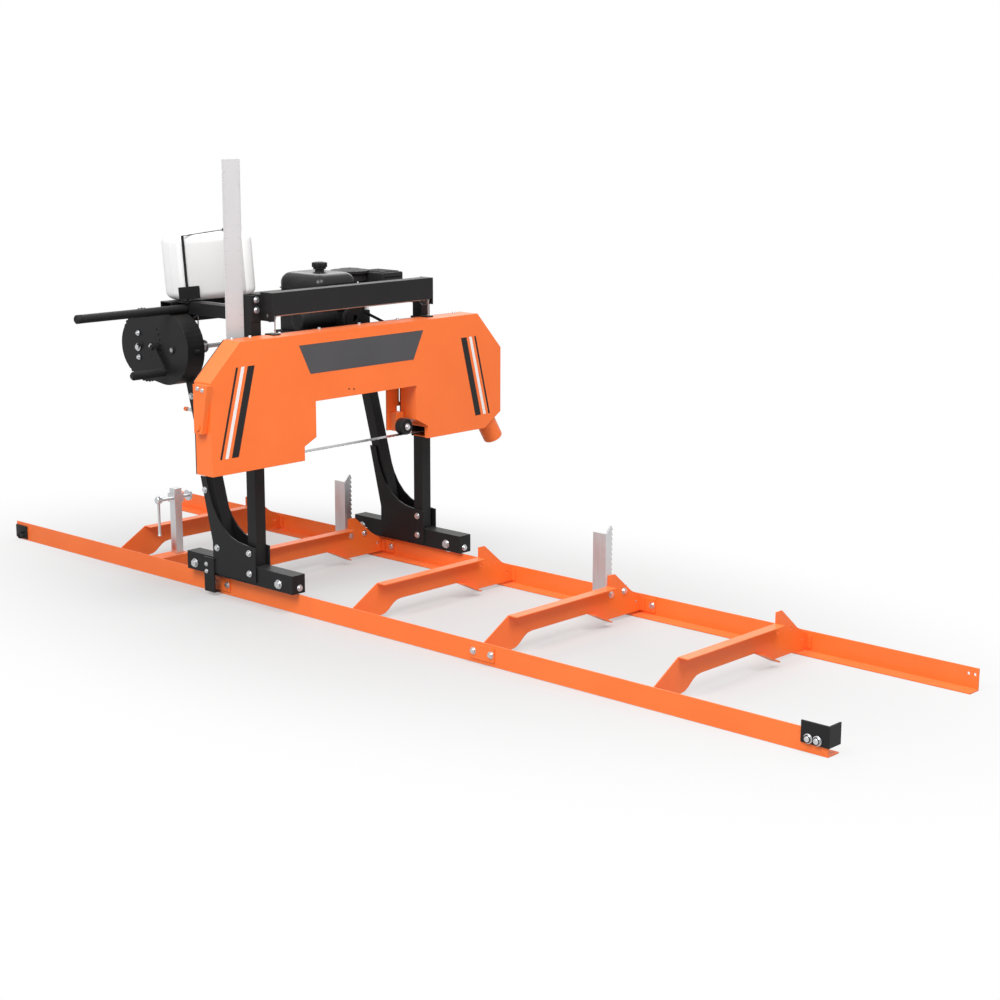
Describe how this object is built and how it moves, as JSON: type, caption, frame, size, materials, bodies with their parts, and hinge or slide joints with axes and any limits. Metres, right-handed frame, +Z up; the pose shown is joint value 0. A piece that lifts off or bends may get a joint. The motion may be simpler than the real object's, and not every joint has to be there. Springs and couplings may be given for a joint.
{
  "type": "portable band sawmill",
  "caption": "Portable band sawmill: rail bed with bunks, rolling carriage with geared cable lift, and an engine-driven saw head in an arched guard.",
  "frame": {"origin": "middle of the footprint on the ground", "axes": "+X along the rails towards the end stop, +Y across the bed away from the crank side, +Z up"},
  "size_m": [4.4192, 1.882, 1.769],
  "materials": {
    "orange_paint": "powder coat, satin",
    "black_paint": "powder coat, satin",
    "zinc_plate": "zinc plated",
    "bare_steel": "bare, lightly oiled",
    "black_rubber": "matt",
    "black_plastic": "matt",
    "fuel_tank_paint": "gloss",
    "white_plastic": "satin",
    "scale_plate": "printed sheet"
  },
  "bodies": {
    "bed": {"front_rail": "orange_paint", "back_rail": "orange_paint", "bunk_1": "orange_paint", "bunk_2": "orange_paint", "bunk_3": "orange_paint", "bunk_4": "orange_paint", "bunk_5": "orange_paint", "end_stop": "black_paint", "log_stop_holder_1": "zinc_plate", "log_stop_holder_2": "zinc_plate", "clamp_base": "orange_paint", "clamp_post": "zinc_plate"},
    "log_stop_1": {"log_stop_1": "zinc_plate"},
    "log_stop_2": {"log_stop_2": "zinc_plate"},
    "clamp_pad": {"clamp_pad": "zinc_plate"},
    "clamp_screw": {"clamp_screw": "zinc_plate"},
    "carriage": {"front_base_beam": "black_paint", "back_base_beam": "black_paint", "front_side_plate": "black_paint", "back_side_plate": "black_paint", "front_post": "black_paint", "back_post": "black_paint", "front_leg": "black_paint", "back_leg": "black_paint", "rear_crossbeam": "black_paint", "front_crossbeam": "black_paint", "push_bar": "black_paint", "drive_housing": "black_paint", "water_tank": "white_plastic", "tank_strap": "black_paint", "front_lift_cable": "bare_steel", "back_lift_cable": "bare_steel", "front_cable_drop": "bare_steel", "back_cable_drop": "bare_steel"},
    "front_wheel_1": {"front_wheel_1": "zinc_plate"},
    "front_wheel_2": {"front_wheel_2": "zinc_plate"},
    "back_wheel_1": {"back_wheel_1": "zinc_plate"},
    "back_wheel_2": {"back_wheel_2": "zinc_plate"},
    "index_wheel": {"index_wheel": "black_paint"},
    "crank": {"crank_arm": "black_paint"},
    "crank_grip": {"crank_grip": "black_rubber"},
    "cross_shaft": {"cross_shaft": "bare_steel"},
    "rear_sheaves": {"rear_sheave_shaft": "bare_steel"},
    "front_sheaves": {"front_sheave_shaft": "bare_steel"},
    "head": {"head_frame": "black_paint", "blade_guard": "orange_paint", "sawdust_chute": "orange_paint", "band_blade": "bare_steel", "drive_belt": "black_rubber", "engine": "black_paint", "fuel_tank": "fuel_tank_paint", "height_scale": "scale_plate"},
    "idler_wheel": {"idler_band_wheel": "bare_steel"},
    "drive_wheel": {"drive_band_wheel": "bare_steel"},
    "clutch_pulley": {"clutch_pulley": "bare_steel"},
    "fuel_cap": {"fuel_cap": "black_plastic"},
    "blade_guide": {"blade_guide": "orange_paint"},
    "guide_roller": {"guide_roller": "black_paint"},
    "tension_lever": {"tension_lever": "orange_paint"}
  },
  "joints": [
    {"name": "carriage_travel", "type": "slide", "parent": "bed", "child": "carriage", "axis": [1, 0, 0], "range_m": [-1.25, 2.345]},
    {"name": "front_wheel_1_roll", "type": "hinge", "parent": "carriage", "child": "front_wheel_1", "pos_m": [-0.85965, -0.37851, 0.1153], "axis": [0, 1, 0], "continuous": true},
    {"name": "front_wheel_2_roll", "type": "hinge", "parent": "carriage", "child": "front_wheel_2", "pos_m": [-0.33765, -0.37851, 0.1153], "axis": [0, 1, 0], "continuous": true},
    {"name": "back_wheel_1_roll", "type": "hinge", "parent": "carriage", "child": "back_wheel_1", "pos_m": [-0.85965, 0.55649, 0.1153], "axis": [0, 1, 0], "continuous": true},
    {"name": "back_wheel_2_roll", "type": "hinge", "parent": "carriage", "child": "back_wheel_2", "pos_m": [-0.33765, 0.55649, 0.1153], "axis": [0, 1, 0], "continuous": true},
    {"name": "head_lift", "type": "slide", "parent": "carriage", "child": "head", "axis": [0, 0, 1], "range_m": [-0.4, 0.035], "deforming": ["front_cable_drop", "back_cable_drop"]},
    {"name": "crank_turn", "type": "hinge", "parent": "carriage", "child": "crank", "pos_m": [-0.97765, -0.38101, 1.005], "axis": [0, 1, 0], "range_deg": [-2960, 265]},
    {"name": "crank_grip_spin", "type": "hinge", "parent": "crank", "child": "crank_grip", "pos_m": [-0.90965, -0.58101, 0.913], "axis": [0, 1, 0], "continuous": true},
    {"name": "index_wheel_turn", "type": "hinge", "parent": "carriage", "child": "index_wheel", "pos_m": [-1.08265, -0.38101, 1.005], "axis": [0, 1, 0], "range_deg": [-90, 990]},
    {"name": "cross_shaft_turn", "type": "hinge", "parent": "carriage", "child": "cross_shaft", "pos_m": [-0.87265, -0.38101, 1.005], "axis": [0, 1, 0], "range_deg": [-90, 990]},
    {"name": "rear_sheaves_turn", "type": "hinge", "parent": "carriage", "child": "rear_sheaves", "pos_m": [-0.87265, -0.38101, 1.165], "axis": [0, 1, 0], "range_deg": [-90, 990]},
    {"name": "front_sheaves_turn", "type": "hinge", "parent": "carriage", "child": "front_sheaves", "pos_m": [-0.44365, -0.38101, 1.165], "axis": [0, 1, 0], "range_deg": [-90, 990]},
    {"name": "drive_wheel_spin", "type": "hinge", "parent": "head", "child": "drive_wheel", "pos_m": [-0.40865, 0.67699, 0.828], "axis": [1, 0, 0], "continuous": true},
    {"name": "idler_wheel_spin", "type": "hinge", "parent": "head", "child": "idler_wheel", "pos_m": [-0.40865, -0.48001, 0.828], "axis": [1, 0, 0], "continuous": true},
    {"name": "clutch_pulley_spin", "type": "hinge", "parent": "head", "child": "clutch_pulley", "pos_m": [-0.56765, 0.21899, 1.098], "axis": [1, 0, 0], "continuous": true},
    {"name": "fuel_cap_turn", "type": "hinge", "parent": "head", "child": "fuel_cap", "pos_m": [-0.70465, 0.15899, 1.31], "axis": [0, 0, 1], "range_deg": [0, 90]},
    {"name": "blade_guide_slide", "type": "slide", "parent": "head", "child": "blade_guide", "axis": [0, -1, 0], "range_m": [0, 0.45]},
    {"name": "guide_roller_spin", "type": "hinge", "parent": "blade_guide", "child": "guide_roller", "pos_m": [-0.41065, 0.35399, 0.643], "axis": [1, 0, 0], "continuous": true},
    {"name": "tension_lever_swing", "type": "hinge", "parent": "head", "child": "tension_lever", "pos_m": [-0.40865, -0.72701, 0.776], "axis": [0, 1, 0], "range_deg": [0, 90]},
    {"name": "log_stop_1_slide", "type": "slide", "parent": "bed", "child": "log_stop_1", "axis": [0, 0, 1], "range_m": [-0.095, 0.03]},
    {"name": "log_stop_2_slide", "type": "slide", "parent": "bed", "child": "log_stop_2", "axis": [0, 0, 1], "range_m": [-0.095, 0.03]},
    {"name": "clamp_pad_slide", "type": "slide", "parent": "bed", "child": "clamp_pad", "axis": [0, 1, 0], "range_m": [-0.0155, 0.0505]},
    {"name": "clamp_screw_turn", "type": "hinge", "parent": "clamp_pad", "child": "clamp_screw", "pos_m": [-1.21965, -0.32101, 0.311], "axis": [0, 1, 0], "range_deg": [-1350, 4500]}
  ],
  "couplings": [
    {"joint": "front_wheel_1_roll", "follows": "carriage_travel", "rad_per_m": 28.329},
    {"joint": "front_wheel_2_roll", "follows": "carriage_travel", "rad_per_m": 28.329},
    {"joint": "back_wheel_1_roll", "follows": "carriage_travel", "rad_per_m": 28.329},
    {"joint": "back_wheel_2_roll", "follows": "carriage_travel", "rad_per_m": 28.329},
    {"joint": "index_wheel_turn", "follows": "head_lift", "rad_per_m": -42.918},
    {"joint": "cross_shaft_turn", "follows": "head_lift", "rad_per_m": -42.918},
    {"joint": "rear_sheaves_turn", "follows": "head_lift", "rad_per_m": -42.918},
    {"joint": "front_sheaves_turn", "follows": "head_lift", "rad_per_m": -42.918},
    {"joint": "crank_turn", "follows": "head_lift", "rad_per_m": 128.76},
    {"joint": "idler_wheel_spin", "follows": "drive_wheel_spin", "ratio": 1},
    {"joint": "clutch_pulley_spin", "follows": "drive_wheel_spin", "ratio": 2.1868},
    {"joint": "clamp_pad_slide", "follows": "clamp_screw_turn", "m_per_rad": 0.00063662}
  ]
}
